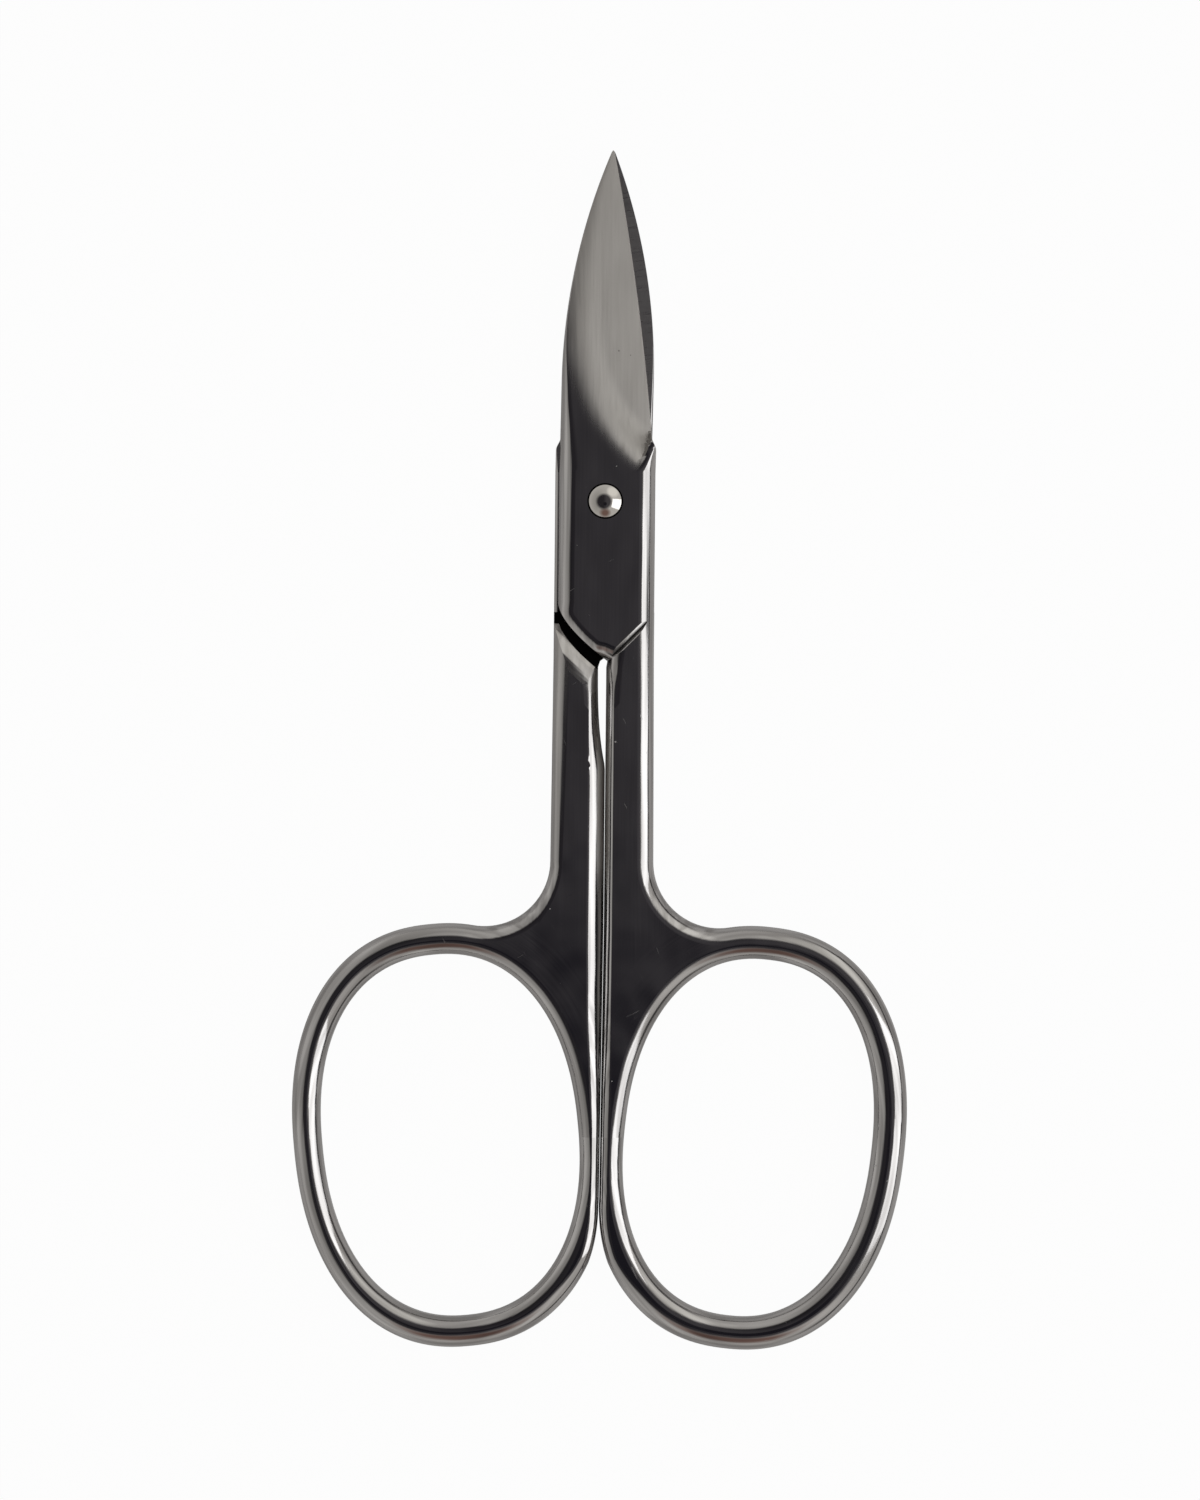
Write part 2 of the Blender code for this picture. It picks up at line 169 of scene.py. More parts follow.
SEAM = 2.2
RINGS_PART = ring_outside(inner_side_angle()).y
PARTING_ROUNDING = 2.4


def inner_side(y, side, notch_depth):
    """Place of a shank's side that meets the other shank, with the see-through notch above."""
    shift = CREVICE_SHIFT * min(1.0, (y - RINGS_PART) / (CREVICE_BEND - RINGS_PART))
    share = min(1.0, (-TANG_FOOT - y) / NOTCH_LENGTH)
    return SHANK_GAP / 2 + side * shift + notch_depth * (1 - share**NOTCH_BLUNTNESS)


def body_outline(side, notch_depth):
    """Outline below the blade's seam, counter-clockwise from the ring's flat inner side."""
    centre, touching = shank_fillet()
    first = inner_side_angle()
    last = touching + math.tau
    above = Vector((SHANK_GAP / 2, RINGS_PART + PARTING_ROUNDING))
    corner = ring_outside(first)
    first += PARTING_ROUNDING / (RING_LENGTH / 2)
    below = ring_outside(first)
    points = []
    for step in range(FILLET_POINTS):
        share = step / FILLET_POINTS
        points.append(above.lerp(corner, share).lerp(corner.lerp(below, share), share))
    for step in range(RING_POINTS + 1):
        points.append(ring_outside(mix(first, last, step / RING_POINTS)))
    spoke = ring_outside(touching) - centre
    sweep = math.atan2(spoke.y, spoke.x) % math.tau
    for step in range(1, FILLET_POINTS + 1):
        angle = mix(sweep, math.pi, step / FILLET_POINTS)
        points.append(centre + Vector((math.cos(angle), math.sin(angle))) * RING_FILLET)
    points.append(Vector((TANG_OWN_SIDE, -TANG_FOOT)))
    points.append(Vector((TANG_OWN_SIDE, SEAM)))
    points.append(Vector((-TANG_FAR_SIDE, SEAM)))
    points += foot_curve(FOOT_TRIM)
    for step in range(1, SIDE_POINTS):
        y = mix(-TANG_FOOT, points[0].y, step / SIDE_POINTS)
        points.append(Vector((inner_side(y, side, notch_depth), y)))
    return points


RING_SIDE_BLEND = 1.5
FOOT_BLEND = 1.0
OUTER_RIM_BLEND = 1.0


def rim_rounding(spot, outer_rounding):
    """Radius of the rounded edge at a place on the body's outline."""
    along_side = blend(RING_CENTRE_Y, RING_CENTRE_Y + RING_LENGTH / 2, spot.y)
    inner = mix(INNER_BAND_ROUNDING, INNER_SIDE_ROUNDING, along_side)
    inner = mix(inner, RIM_ROUNDING, blend(-TANG_FOOT - NOTCH_LENGTH / 2, -TANG_FOOT, spot.y))
    on_shank = blend(SHANK_OUTER_SIDE + RING_SIDE_BLEND, SHANK_OUTER_SIDE, spot.x)
    on_shank *= blend(-TANG_FOOT + FOOT_BLEND, -TANG_FOOT, spot.y)
    on_shank *= along_side
    outer = mix(RIM_ROUNDING, outer_rounding, on_shank)
    return mix(inner, outer, blend(NOTCH_HALF_WIDTH, SHANK_OUTER_SIDE - OUTER_RIM_BLEND, spot.x))


def new_piece(name, shape):
    """Stores a bmesh as a mesh object of the scene and frees it."""
    mesh = bpy.data.meshes.new(name)
    shape.to_mesh(mesh)
    shape.free()
    piece = bpy.data.objects.new(name, mesh)
    bpy.context.scene.collection.objects.link(piece)
    return piece


def extruded(name, outline, low, high):
    """A flat plate of an outline, between two heights."""
    shape = bmesh.new()
    corners = [shape.verts.new((x, y, low)) for x, y in outline]
    underside = shape.faces.new(corners)
    raised = bmesh.ops.extrude_face_region(shape, geom=[underside])["geom"]
    top = [item for item in raised if isinstance(item, bmesh.types.BMVert)]
    bmesh.ops.translate(shape, verts=top, vec=(0.0, 0.0, high - low))
    bmesh.ops.recalc_face_normals(shape, faces=shape.faces)
    return new_piece(name, shape)


def extrude_loop(shape, loop):
    """Extrudes a loop of edges by one step and returns its new corners and edges."""
    made = bmesh.ops.extrude_edge_only(shape, edges=loop)["geom"]
    corners = [item for item in made if isinstance(item, bmesh.types.BMVert)]
    edges = [item for item in made if isinstance(item, bmesh.types.BMEdge)]
    return corners, [edge for edge in edges if edge.is_boundary]


def hole_plug(hole_width, hole_length):
    """A plug that flares over both faces, which leaves the finger hole with rounded edges."""
    shape = bmesh.new()
    turn = shape.verts.layers.float.new("turn")
    for vert in bmesh.ops.create_circle(shape, segments=RING_POINTS, radius=1.0)["verts"]:
        vert[turn] = math.atan2(vert.co.y, vert.co.x)
    flare = []
    for step in range(ROUNDING_STEPS + 1):
        angle = math.pi / 2 * step / ROUNDING_STEPS
        flare.append((1 - math.cos(angle), math.sin(angle) - 1))
    flare.append([2 * last - before for last, before in zip(flare[-1], flare[-2])])
    levels = [(out, rise, -1) for out, rise in reversed(flare)]
    levels += [(out, rise, 1) for out, rise in flare]
    corners = shape.verts[:]
    loop = shape.edges[:]
    for step, (out, rise, side) in enumerate(levels):
        if step > 0:
            corners, loop = extrude_loop(shape, loop)
        half_width = hole_width / 2 + HOLE_ROUNDING * out
        half_length = hole_length / 2 + HOLE_ROUNDING * out
        height = side * (HALF_THICKNESS + HOLE_ROUNDING * rise)
        for vert in corners:
            vert.co = ring_oval(half_width, half_length, vert[turn]).to_3d()
            vert.co.z = height
    bmesh.ops.holes_fill(shape, edges=[edge for edge in shape.edges if edge.is_boundary])
    bmesh.ops.recalc_face_normals(shape, faces=shape.faces)
    return new_piece("hole_plug", shape)


SHOULDER_DROP = 1.2


def shoulder_line():
    """The edge of the lap, which follows the other half's tang with a gap below its foot."""
    return [Vector((-point.x, point.y - SHOULDER_DROP)) for point in foot_curve()]


def lap_cutter():
    """Takes away the half's back above the shoulder, where the other tang lies."""
    shoulder = shoulder_line()[3:]
    wide = TANG_OWN_SIDE + OVERRUN
    outline = [Vector((wide, SEAM + OVERRUN)), Vector((-wide, SEAM + OVERRUN))]
    outline.append(Vector((-wide, shoulder[-1].y)))
    outline += reversed(shoulder)
    outline.append(Vector((wide, shoulder[0].y)))
    return extruded("lap_cutter", outline, -HALF_THICKNESS - OVERRUN, FAYING_FACE)


TRIMMER_DROP = 0.5
TRIMMER_STEP = 0.3


def foot_trimmer():
    """Cuts the tang's foot upright, through its rounded rim."""
    foot = foot_curve()[1:]
    outline = foot + [Vector((foot[-1].x - TRIMMER_STEP, foot[-1].y - TRIMMER_DROP))]
    outline.append(Vector((-TANG_FAR_SIDE - OVERRUN, foot[-1].y - TRIMMER_DROP)))
    outline.append(Vector((-TANG_FAR_SIDE - OVERRUN, foot[0].y)))
    return extruded("foot_trimmer", outline, -HALF_THICKNESS - OVERRUN, HALF_THICKNESS + OVERRUN)


def bar(name, profile, start, end):
    """A straight bar between two places, with its profile given as (to the right, height)."""
    along = (end - start).normalized()
    right = Vector((along.y, -along.x))
    shape = bmesh.new()
    corners = []
    for offset, height in profile:
        spot = start + right * offset
        corners.append(shape.verts.new((spot.x, spot.y, height)))
    cap = shape.faces.new(corners)
    moved = bmesh.ops.extrude_face_region(shape, geom=[cap])["geom"]
    far_corners = [item for item in moved if isinstance(item, bmesh.types.BMVert)]
    bmesh.ops.translate(shape, verts=far_corners, vec=(end - start).to_3d())
    bmesh.ops.recalc_face_normals(shape, faces=shape.faces)
    return new_piece(name, shape)


RELIEF_RADIUS = 3.0
RELIEF_RUN = 1.75
RELIEF_OVERSHOOT = 1.4
RELIEF_STEPS = 20


def relief_cutter():
    """Rounds the shank's back off towards the shoulder, as a polishing wheel leaves it."""
    shoulder = shoulder_line()
    profile = []
    for step in range(RELIEF_STEPS + 1):
        away = RELIEF_OVERSHOOT * RELIEF_RUN * step / RELIEF_STEPS
        depth = RELIEF_RADIUS - math.sqrt(RELIEF_RADIUS**2 - away**2)
        profile.append((RELIEF_RUN - away, depth - HALF_THICKNESS))
    profile.append((profile[-1][0], -HALF_THICKNESS - OVERRUN))
    profile.append((RELIEF_RUN, -HALF_THICKNESS - OVERRUN))
    low_end = shoulder[-1]
    high_end = shoulder[FOOT_POINTS // 2]
    reach = (high_end - low_end).normalized() * 2 * OVERRUN
    return bar("relief_cutter", profile, low_end - reach, high_end + reach)


GROOVE_WIDTH = 0.54
GROOVE_DEPTH = 0.24


def groove_cutter():
    """A V-shaped bar for the fine groove from the notch up to the outer side."""
    notch = foot_curve()[-1]
    reach = TANG_OWN_SIDE - notch.x
    top = HALF_THICKNESS + OVERRUN
    wide = GROOVE_WIDTH / 2 * (OVERRUN + GROOVE_DEPTH) / GROOVE_DEPTH
    profile = [(0.0, HALF_THICKNESS - GROOVE_DEPTH), (wide, top), (-wide, top)]
    start = notch - Vector((GROOVE_DEPTH, GROOVE_DEPTH))
    return bar("groove_cutter", profile, start, notch + Vector((reach, reach)))


EDGE_BREAK = 0.3
EDGE_BREAK_START = -8.3
EDGE_BREAK_STEPS = 6


def edge_breaker(side, start):
    """Tool that rounds the lapped face's sharp edge along one side of the tang."""
    profile = []
    for step in range(EDGE_BREAK_STEPS + 1):
        angle = math.pi / 2 * step / EDGE_BREAK_STEPS
        rise = EDGE_BREAK * (1 - math.cos(angle))
        profile.append((EDGE_BREAK * (math.sin(angle) - 1), FAYING_FACE + rise))
    profile.append((OVERRUN, FAYING_FACE + EDGE_BREAK))
    profile.append((OVERRUN, -OVERRUN))
    profile.append((-EDGE_BREAK, -OVERRUN))
    ends = [Vector((side, start)), Vector((side, SEAM + OVERRUN))]
    if side < 0:
        ends.reverse()
    return bar("edge_breaker", profile, *ends)


MERGE_DISTANCE = 0.0001


def turned(name, profile, steps):
    """A solid of revolution about the rivet's axis, from (radius, height) places."""
    shape = bmesh.new()
    corners = [shape.verts.new((radius, 0.0, height)) for radius, height in profile]
    lines = [shape.edges.new(pair) for pair in zip(corners, corners[1:])]
    bmesh.ops.spin(shape, geom=corners + lines, axis=(0.0, 0.0, 1.0), cent=(0.0, 0.0, 0.0),
                   angle=math.tau, steps=steps, use_merge=True)
    bmesh.ops.remove_doubles(shape, verts=shape.verts, dist=MERGE_DISTANCE)
    bmesh.ops.recalc_face_normals(shape, faces=shape.faces)
    return new_piece(name, shape)


RIVET_HOLE = 0.93
HEAD_SEAT = 1.34
HEAD_SEAT_DEPTH = 0.2
TURNED_STEPS = 96


def head_seat():
    """Tool for the rivet's hole and the shallow round seat that its domed head sits in."""
    top = HALF_THICKNESS + OVERRUN
    floor = HALF_THICKNESS - HEAD_SEAT_DEPTH
    profile = [(0.0, top), (HEAD_SEAT, top), (HEAD_SEAT, floor)]
    profile += [(RIVET_HOLE, floor), (RIVET_HOLE, -top), (0.0, -top)]
    return turned("head_seat", profile, TURNED_STEPS)


def cut(piece, *tools):
    """Cuts tools out of a piece, applies what is left as its mesh and removes the tools."""
    for tool in tools:
        boolean = piece.modifiers.new(tool.name, "BOOLEAN")
        boolean.solver = "EXACT"
        boolean.object = tool
    bpy.context.view_layer.update()
    graph = bpy.context.evaluated_depsgraph_get()
    finished = bpy.data.meshes.new_from_object(piece.evaluated_get(graph))
    piece.modifiers.clear()
    piece.data = finished
    for tool in tools:
        bpy.data.objects.remove(tool, do_unlink=True)


def round_rim(plate, outer_rounding):
    """Rounds the rim of a plate on both faces, by the radius that belongs to each place."""
    shape = bmesh.new()
    shape.from_mesh(plate.data)
    weight = shape.edges.layers.float.new("bevel_weight_edge")
    for edge in shape.edges:
        start, end = [vert.co for vert in edge.verts]
        if start.z * end.z > 0 and min(start.y, end.y) < SEAM:
            rounding = rim_rounding((start + end) / 2, outer_rounding)
            edge[weight] = rounding / RIM_ROUNDING
    shape.to_mesh(plate.data)
    shape.free()
    bevel = plate.modifiers.new("rounded_rim", "BEVEL")
    bevel.affect = "EDGES"
    bevel.limit_method = "WEIGHT"
    bevel.width = RIM_ROUNDING
    bevel.segments = ROUNDING_STEPS
    bevel.profile = 0.5
    bevel.material = -1
    bevel.use_clamp_overlap = False


DRAFT = 0.6
WIDENED_REACH = 1.02


def widen_inner_rounding(half, side, notch_depth, width):
    """Draws the rounded inner side of the shank out to the width that it has in the real half."""
    for vert in half.data.vertices:
        x, y, z = vert.co
        edge = inner_side(y, side, notch_depth)
        away = (x - edge) / INNER_SIDE_ROUNDING
        if RINGS_PART < y < -TANG_FOOT and 0.0 < away < WIDENED_REACH:
            share = blend(RING_CENTRE_Y, RING_CENTRE_Y + RING_LENGTH / 3, y)
            share *= 1 - blend(-TANG_FOOT - 2 * SHOULDER_DROP, -TANG_FOOT, y)
            full = inner_side(CREVICE_BEND, side, 0.0) + width - edge
            vert.co.x = mix(x, edge + full * away**DRAFT, share)


BLADE_REACH = 26.4
BLADE_LEAN = 0.38
SPINE_CURVE_START = 9.0
TIP_WIDTH = 0.16
TIP_LENGTH = 0.12
HEEL_CORNER = 3.9
HEEL_EDGE = 4.8
HEEL_INSET = 0.33
CUTTING_EDGE_BULGE = 0.29
EDGE_THICKNESS = 0.14
EDGE_RIM = 0.05
EDGE_RIM_RUN = 0.4
EDGE_RIM_POWER = 0.7
SPINE_BEVEL = 0.7
SPINE_BEVEL_FULL = 8.0
SPINE_THINNING = (6.0, 14.0)
SPINE_THIN_SHARE = 0.16
SPINE_TIP_SHARE = 0.2
GRIND_WIDTH = 5.9
GRIND_HOLLOW_SHARE = 0.2
WHEEL_CENTRE = Vector((10.6, 13.8))
WHEEL_RADIUS = 14.2
PLUNGE_RUN = 3.1
HEEL_FACET_LOW = Vector((2.59, 2.65))
HEEL_FACET_HIGH = Vector((3.32, 5.06))
HEEL_FACET_EDGE = (-0.08, 0.14)
BLADE_STATIONS = 130
TOP_CUTS = 26
TIP_CLOSING = 0.8


def spine_side(y):
    """Place of the spine's side at a distance from the rivet."""
    if y <= SPINE_CURVE_START:
        return -TANG_FAR_SIDE
    rise = BLADE_REACH - SPINE_CURVE_START
    run = TANG_FAR_SIDE - TIP_WIDTH / 2
    radius = (rise**2 + run**2) / (2 * run)
    return radius - TANG_FAR_SIDE - math.sqrt(radius**2 - (y - SPINE_CURVE_START) ** 2)


def edge_side(y):
    """Place of the cutting edge, or of the tang's own side below the heel."""
    if y < HEEL_EDGE:
        return TANG_OWN_SIDE - HEEL_INSET * blend(HEEL_CORNER, HEEL_EDGE, y)
    share = (y - HEEL_EDGE) / (BLADE_REACH - HEEL_EDGE)
    chord = mix(TANG_OWN_SIDE - HEEL_INSET, TIP_WIDTH / 2, share)
    return chord + CUTTING_EDGE_BULGE * 4 * share * (1 - share)


def spine_bevel(y):
    """Width of the rounded spine, which narrows from the tang's rim to a fine line."""
    thinning_start, thinning_end = SPINE_THINNING
    width = mix(RIM_ROUNDING, SPINE_BEVEL, blend(SEAM, SPINE_BEVEL_FULL, y))
    width *= mix(1.0, SPINE_THIN_SHARE, blend(thinning_start, thinning_end, y))
    return width * mix(1.0, SPINE_TIP_SHARE, blend(thinning_end, BLADE_REACH, y))


def inside_grind(x, y):
    """How far a place lies inside the curved line where the ground face runs out."""
    return WHEEL_RADIUS - math.hypot(x - WHEEL_CENTRE.x, min(0.0, y - WHEEL_CENTRE.y))


def beyond_grind(x, y):
    """1 on the sliver of the tang's flat face that the wheel leaves beside the heel."""
    along = (HEEL_FACET_HIGH - HEEL_FACET_LOW).normalized()
    spot = Vector((x, y)) - HEEL_FACET_LOW
    return blend(*HEEL_FACET_EDGE, spot.x * along.y - spot.y * along.x)


def ground_height(x, y):
    """Height of the blade's face: flat tang, diagonal plunge, then the ground bevel."""
    near = spine_side(y) + spine_bevel(y)
    far = edge_side(y)
    edge_top = FAYING_FACE + EDGE_THICKNESS
    fullness = (far - near) / GRIND_WIDTH
    spine_top = edge_top + (HALF_THICKNESS - edge_top) * min(1.0, fullness)
    share = (x - near) / (far - near)
    round_off = math.hypot(share, GRIND_HOLLOW_SHARE) - GRIND_HOLLOW_SHARE
    round_off /= math.hypot(1.0, GRIND_HOLLOW_SHARE) - GRIND_HOLLOW_SHARE
    plunge = blend(0.0, PLUNGE_RUN, inside_grind(x, y))
    plunge *= 1 - beyond_grind(x, y)
    return spine_top - (spine_top - edge_top) * round_off * plunge


def blade_place(across, height, y, lean_side):
    """Where a corner of the seam's section goes at a distance from the rivet."""
    near_rim = RIM_ROUNDING - TANG_FAR_SIDE
    far_rim = TANG_OWN_SIDE - RIM_ROUNDING
    near = spine_side(y) + spine_bevel(y)
    ground_off = min(1.0, (y - SEAM) / (HEEL_CORNER + EDGE_RIM_RUN - SEAM)) ** EDGE_RIM_POWER
    rim = mix(RIM_ROUNDING, EDGE_RIM, ground_off)
    far = edge_side(y) - rim
    if across < near_rim:
        x = near - (near_rim - across) / RIM_ROUNDING * spine_bevel(y)
        top = ground_height(near, y)
    elif across > far_rim:
        x = far + (across - far_rim) / RIM_ROUNDING * rim
        top = ground_height(far, y)
    else:
        x = mix(near, far, (across - near_rim) / (far_rim - near_rim))
        top = ground_height(x, y)
    z = FAYING_FACE + (height - FAYING_FACE) * (top - FAYING_FACE) / (HALF_THICKNESS - FAYING_FACE)
    lean = lean_side * BLADE_LEAN * (y - SEAM) / (BLADE_REACH - SEAM)
    return Vector((x + lean, y, z))


TOUCHING = 0.001
NEAR = 0.01
FACING = 0.99
PAINTED_SHADE_REACH = 1.35
PAINTED_SHADE_END = 2.4
RELIEF_MARGIN = 0.05
RELIEF_SATIN = 0.4
INNER_GRIND_WIDTH = 0.45
INNER_GRIND_END = (-31.0, -26.0)
INNER_GRIND_SATIN = 0.9


def mark_corners(shape, satin, painted_shade):
    """Marks the relief and the inner flanks as brushed, and marks painted shade on the lapped face
    in the gap by the shoulder, along the groove's floor and round the head seat's floor.
    """
    low_end = shoulder_line()[-1]
    along = (shoulder_line()[FOOT_POINTS // 2] - low_end).normalized()
    outward = Vector((-along.y, along.x))
    lapped = [face for face in shape.faces if face.normal.z < -FACING and all(
        abs(vert.co.z - FAYING_FACE) < TOUCHING for vert in face.verts)]
    # Cuts the lapped face where the painted shade is full and where it has faded out.
    for distance in (PAINTED_SHADE_REACH, PAINTED_SHADE_END):
        spot = (low_end + outward * distance).to_3d()
        parts = [item for item in lapped if item.is_valid]
        parts += list({edge for face in parts for edge in face.edges})
        parts += list({vert for face in parts if isinstance(face, bmesh.types.BMFace)
                       for vert in face.verts})
        made = bmesh.ops.bisect_plane(shape, geom=parts, dist=MERGE_DISTANCE, plane_co=spot,
                                      plane_no=outward.to_3d())["geom"]
        lapped = [item for item in made if isinstance(item, bmesh.types.BMFace)]
    groove_start = foot_curve()[-1]
    groove_floor = HALF_THICKNESS - GROOVE_DEPTH
    seat_floor = HALF_THICKNESS - HEAD_SEAT_DEPTH
    for vert in shape.verts:
        spot = vert.co.xy
        height = vert.co.z
        distance = (spot - low_end).dot(outward)
        # Painted shade on the lapped face in the gap between the shoulder and the other tang's
        # foot.
        if abs(height - FAYING_FACE) < TOUCHING and -RELIEF_RUN < distance < PAINTED_SHADE_REACH + NEAR:
            vert[painted_shade] = 1.0
        if RELIEF_MARGIN - RELIEF_RUN < distance < NEAR and height < -FAYING_FACE:
            vert[satin] = RELIEF_SATIN
        if abs(spot.x) < INNER_GRIND_WIDTH and spot.y < -TANG_FOOT:
            vert[satin] = INNER_GRIND_SATIN * blend(*INNER_GRIND_END, spot.y)
        # Painted shade along the groove's floor.
        offset = spot - groove_start
        if abs(offset.x - offset.y) < 2 * NEAR and abs(groove_floor - height) < 2 * NEAR:
            vert[painted_shade] = 1.0
        # Painted shade round the floor of the head's seat, in the crevice round the rivet's head.
        if spot.length < HEAD_SEAT + NEAR and abs(height - seat_floor) < NEAR:
            vert[painted_shade] = 1.0


SATIN_EDGE = (-0.9, 1.9)


def draw_out_blade(half, lean_side):
    """Opens the tang's end at the seam and draws its section out to the tip of the blade."""
    shape = bmesh.new()
    shape.from_mesh(half.data)
    bmesh.ops.remove_doubles(shape, verts=shape.verts, dist=MERGE_DISTANCE)
    across = shape.verts.layers.float.new("across")
    height = shape.verts.layers.float.new("height")
    satin = shape.verts.layers.float.new("satin")
    # The mask below marks where shade is painted dark into the steel's colour: the lap's gap, the
    # groove and the head's seat.
    painted_shade = shape.verts.layers.float.new("painted_shade")
    mark_corners(shape, satin, painted_shade)
    at_seam = [vert for vert in shape.verts if abs(vert.co.y - SEAM) < TOUCHING]
    end_edges = [edge for edge in shape.edges if all(vert in at_seam for vert in edge.verts)]
    top = max(end_edges, key=lambda edge: edge.verts[0].co.z + edge.verts[1].co.z)
    bmesh.ops.subdivide_edges(shape, edges=[top], cuts=TOP_CUTS)
    ends = [face for face in shape.faces if all(abs(v.co.y - SEAM) < TOUCHING for v in face.verts)]
    bmesh.ops.delete(shape, geom=ends, context="FACES_ONLY")
    loop = [edge for edge in shape.edges if edge.is_boundary and all(
        abs(vert.co.y - SEAM) < TOUCHING for vert in edge.verts)]
    for vert in {vert for edge in loop for vert in edge.verts}:
        vert[across] = vert.co.x
        vert[height] = vert.co.z
    reaches = [mix(SEAM, BLADE_REACH - TIP_LENGTH, step / BLADE_STATIONS)
               for step in range(1, BLADE_STATIONS + 1)]
    for y in reaches:
        corners, loop = extrude_loop(shape, loop)
        for vert in corners:
            vert.co = blade_place(vert[across], vert[height], y, lean_side)
            if vert[across] > RIM_ROUNDING - TANG_FAR_SIDE - NEAR:
                ground = blend(*SATIN_EDGE, inside_grind(*vert.co.xy))
                vert[satin] = ground * (1 - beyond_grind(*vert.co.xy))
    corners, loop = extrude_loop(shape, loop)
    middle = sum((vert.co for vert in corners), Vector()) / len(corners)
    middle.y = BLADE_REACH
    for vert in corners:
        vert.co = vert.co.lerp(middle, TIP_CLOSING)
        vert.co.y = BLADE_REACH
    bmesh.ops.holes_fill(shape, edges=loop)
    bmesh.ops.recalc_face_normals(shape, faces=shape.faces)
    for face in shape.faces:
        middle = face.calc_center_median()
        on_faying_face = abs(middle.z - FAYING_FACE) < NEAR and face.normal.z < -FACING
        face.material_index = 1 if on_faying_face else 0
        face.smooth = True
    shape.to_mesh(half.data)
    shape.free()


def forged_half(name, side, outer_rounding, inner_width, notch_depth, hole_size, rivet_seat):
    """One half in its own frame, in millimetres: cut from a plate, then drawn out to a blade."""
    half = extruded(name, body_outline(side, notch_depth), -HALF_THICKNESS, HALF_THICKNESS)
    round_rim(half, outer_rounding)
    cut(half, hole_plug(*hole_size), foot_trimmer(), lap_cutter(), relief_cutter(),
        groove_cutter(), edge_breaker(TANG_OWN_SIDE, EDGE_BREAK_START),
        edge_breaker(-TANG_FAR_SIDE, -TANG_FOOT), rivet_seat)
    widen_inner_rounding(half, side, notch_depth, inner_width)
    draw_out_blade(half, side)
    return half


SHARP_ANGLE = math.radians(32)


def set_in_place(piece, turned_over):
    """Brings a piece from millimetres about the rivet to its place in the whole object."""
    rivet_axis = Vector(frame["joints"][0]["pos_m"])
    over = Matrix.Rotation(math.pi if turned_over else 0.0, 4, "Y")
    piece.data.transform(Matrix.Translation(rivet_axis) @ over @ Matrix.Scale(MILLIMETRE, 4))
    piece.data.set_sharp_from_angle(angle=SHARP_ANGLE)
    weighted = piece.modifiers.new("weighted_normals", "WEIGHTED_NORMAL")
    weighted.keep_sharp = True


POLISHED_COLOUR = (0.56, 0.55, 0.545, 1.0)
DULL_COLOUR = (0.36, 0.35, 0.345, 1.0)
SATIN_COLOUR = (0.45, 0.435, 0.415, 1.0)
GROUND_COLOUR = (0.56, 0.55, 0.54, 1.0)
# Near-black painted shade for the lap's gap, the groove's floor and the head's seat.
PAINTED_SHADE_COLOUR = (0.012, 0.011, 0.011, 1.0)


def new_steel(name, colour):
    """A plain metal shader and its node tree, ready for the marks of its finish."""
    material = bpy.data.materials.new(name)
    material.use_nodes = True
    tree = material.node_tree
    shader = tree.nodes["Principled BSDF"]
    shader.inputs["Base Color"].default_value = colour
    shader.inputs["Metallic"].default_value = 1.0
    return material, tree, shader


def put(tree, socket, value):
    """Gives a socket a plain value, or links it to the output that is given."""
    if isinstance(value, bpy.types.NodeSocket):
        tree.links.new(value, socket)
    else:
        socket.default_value = value


def worked(tree, operation, *values):
    """The output of a Math node."""
    node = tree.nodes.new("ShaderNodeMath")
    node.operation = operation
    for socket, value in zip(node.inputs, values):
        put(tree, socket, value)
    return node.outputs["Value"]


def level(tree, value, low, high, result_low=0.0, result_high=1.0):
    """A value brought from one range to another, and held at its ends."""
    node = tree.nodes.new("ShaderNodeMapRange")
    for socket, given in zip(node.inputs, (value, low, high, result_low, result_high)):
        put(tree, socket, given)
    return node.outputs["Result"]


def between(tree, share, first, second):
    """A colour mixed from two by a share."""
    node = tree.nodes.new("ShaderNodeMix")
    node.data_type = "RGBA"
    colours = [socket for socket in node.inputs if socket.type == "RGBA"]
    put(tree, node.inputs["Factor"], share)
    put(tree, colours[0], first)
    put(tree, colours[1], second)
    return [socket for socket in node.outputs if socket.type == "RGBA"][0]


def on_piece(tree, stretch, turn):
    """Places on the piece, turned and drawn out along one direction."""
    mapping = tree.nodes.new("ShaderNodeMapping")
    mapping.vector_type = "TEXTURE"
    place = tree.nodes.new("ShaderNodeTexCoord").outputs["Object"]
    put(tree, mapping.inputs["Vector"], place)
    put(tree, mapping.inputs["Rotation"], (0.0, 0.0, math.radians(turn)))
    put(tree, mapping.inputs["Scale"], stretch)
    return mapping.outputs["Vector"]


def marks(tree, scale, low, high, stretch=(1.0, 1.0, 1.0), turn=0, detail=1.0):
    """Noise drawn out along one direction on the piece, from 0 to 1 between two levels."""
    noise = tree.nodes.new("ShaderNodeTexNoise")
    put(tree, noise.inputs["Vector"], on_piece(tree, stretch, turn))
    put(tree, noise.inputs["Scale"], scale)
    put(tree, noise.inputs["Detail"], detail)
    return level(tree, noise.outputs["Fac"], low, high)


RING_TURN_SCALE = 0.0005
RING_ZONE = (1.14, 1.07)


